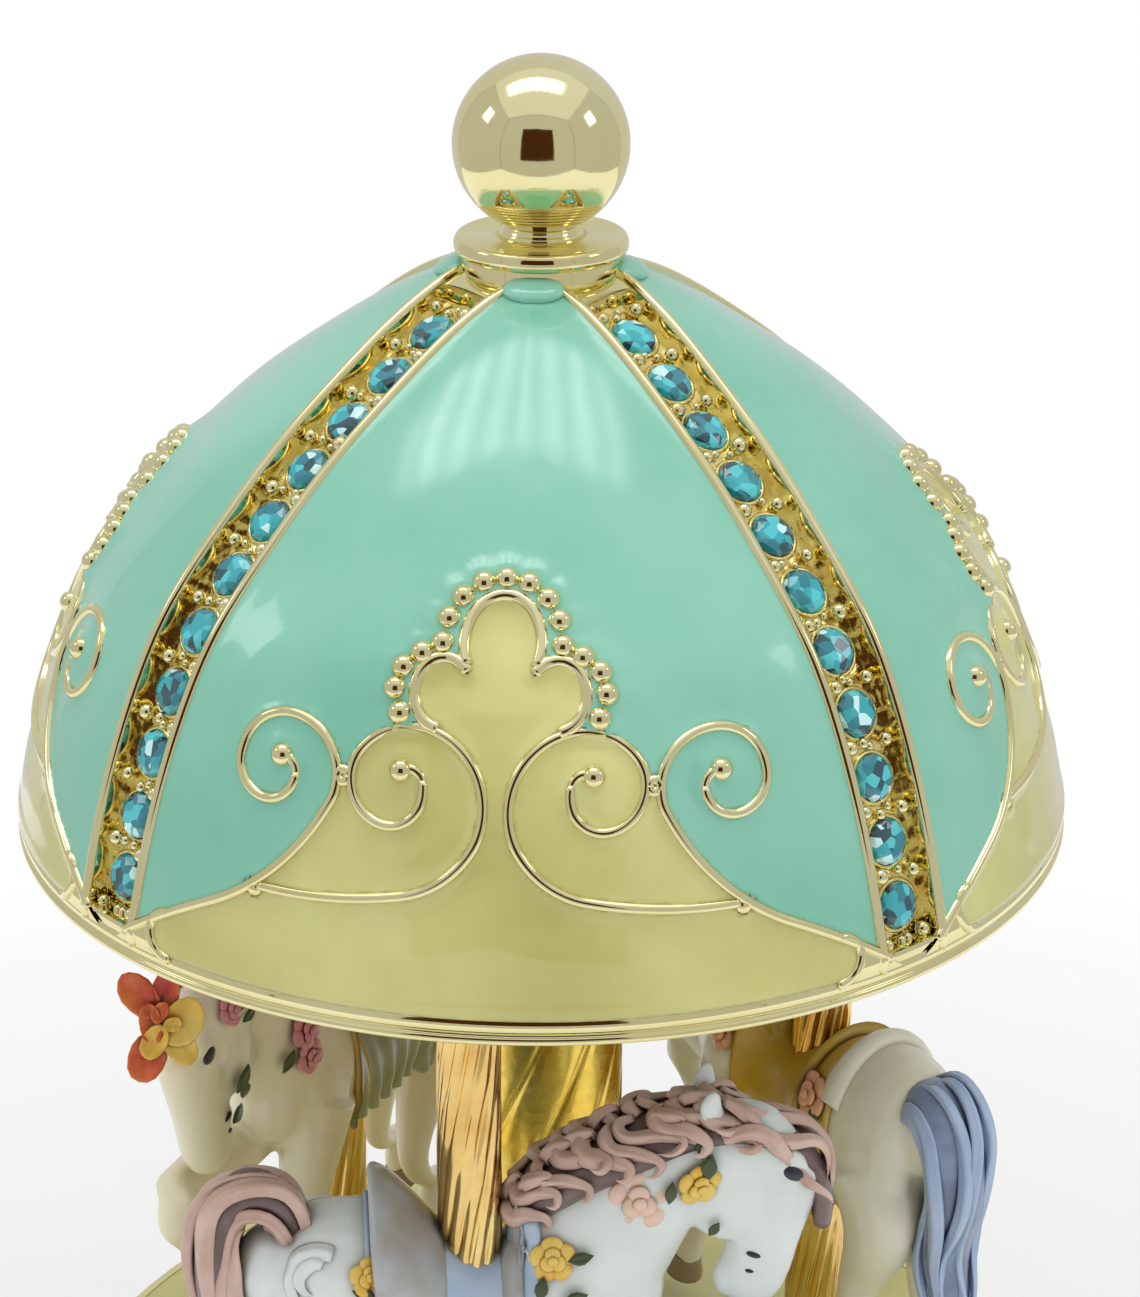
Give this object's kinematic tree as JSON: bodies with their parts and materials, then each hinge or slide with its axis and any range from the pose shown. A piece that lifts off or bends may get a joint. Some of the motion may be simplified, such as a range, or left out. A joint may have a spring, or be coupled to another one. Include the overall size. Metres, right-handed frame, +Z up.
{
  "type": "carousel music box",
  "caption": "Wind-up carousel music box: an enamelled dome canopy with stone-set ribs over horses on twisted poles, turning on a round base that holds the movement.",
  "frame": {"origin": "centre of the foot ring on the table", "axes": "+Z up along the carousel's axis, -Y out of the front canopy panel, +X to the right as seen from the front"},
  "size_m": [0.11, 0.11, 0.2001],
  "materials": {
    "gold_plate": "polished pale gold plating on cast zinc",
    "mint_enamel": "glossy cold enamel",
    "cream_enamel": "glossy cold enamel",
    "stone": "faceted turquoise glass with foil back",
    "twisted_brass": "polished brass tube with twisted flutes",
    "painted_resin": "cast resin, hand painted and pearly",
    "steel": "bright steel",
    "movement_brass": "turned brass",
    "movement_zinc": "die-cast zinc",
    "nylon": "white nylon"
  },
  "bodies": {
    "base": {"base_drum": "gold_plate", "base_mint_enamel": "mint_enamel", "base_stones": "stone", "base_foot": "gold_plate", "foot_enamel": "cream_enamel", "deck_bush": "movement_brass", "thrust_washer": "nylon", "bottom_plate": "steel", "bottom_screws": "steel", "movement_screws": "steel", "movement_bedplate": "movement_zinc", "music_comb": "steel", "comb_screws": "steel", "ratchet_pawl": "steel"},
    "carousel": {"canopy_shell": "gold_plate", "canopy_mint_enamel": "mint_enamel", "canopy_cream_enamel": "cream_enamel", "canopy_stones": "stone", "ceiling_plate": "gold_plate", "finial_collar": "gold_plate", "finial_ball": "gold_plate", "tie_rod": "steel", "centre_column": "twisted_brass", "pole_front": "twisted_brass", "pole_right": "twisted_brass", "pole_left": "twisted_brass", "platform": "gold_plate", "platform_enamel": "cream_enamel", "horse_front": "painted_resin", "horse_right": "painted_resin", "horse_left": "painted_resin", "drive_shaft": "steel", "spring_barrel": "movement_brass", "mainspring": "steel"},
    "cylinder": {"pin_cylinder": "movement_brass", "cylinder_arbor": "steel", "crown_pinion": "movement_brass", "governor_gear": "movement_brass"},
    "governor": {"governor_arbor": "movement_brass"},
    "fly": {"governor_fly": "movement_brass"},
    "winder": {"winding_arbor": "steel", "winding_key": "gold_plate"}
  },
  "joints": [
    {"name": "carousel_spin", "type": "hinge", "parent": "base", "child": "carousel", "pos_m": [0, 0, 0.057], "axis": [0, 0, 1], "continuous": true},
    {"name": "cylinder_spin", "type": "hinge", "parent": "base", "child": "cylinder", "pos_m": [0.0255, 0, 0.036], "axis": [1, 0, 0], "continuous": true},
    {"name": "governor_spin", "type": "hinge", "parent": "base", "child": "governor", "pos_m": [0.036, -0.0072, 0.036], "axis": [1, 0, 0], "continuous": true},
    {"name": "fly_spin", "type": "hinge", "parent": "base", "child": "fly", "pos_m": [0.0372, -0.0118, 0.036], "axis": [0, 0, 1], "continuous": true},
    {"name": "key_wind", "type": "hinge", "parent": "base", "child": "winder", "pos_m": [0, 0, 0.01], "axis": [0, 0, 1], "continuous": true}
  ],
  "couplings": [
    {"joint": "cylinder_spin", "follows": "carousel_spin", "ratio": 4},
    {"joint": "governor_spin", "follows": "carousel_spin", "ratio": -12},
    {"joint": "fly_spin", "follows": "carousel_spin", "ratio": 120}
  ]
}
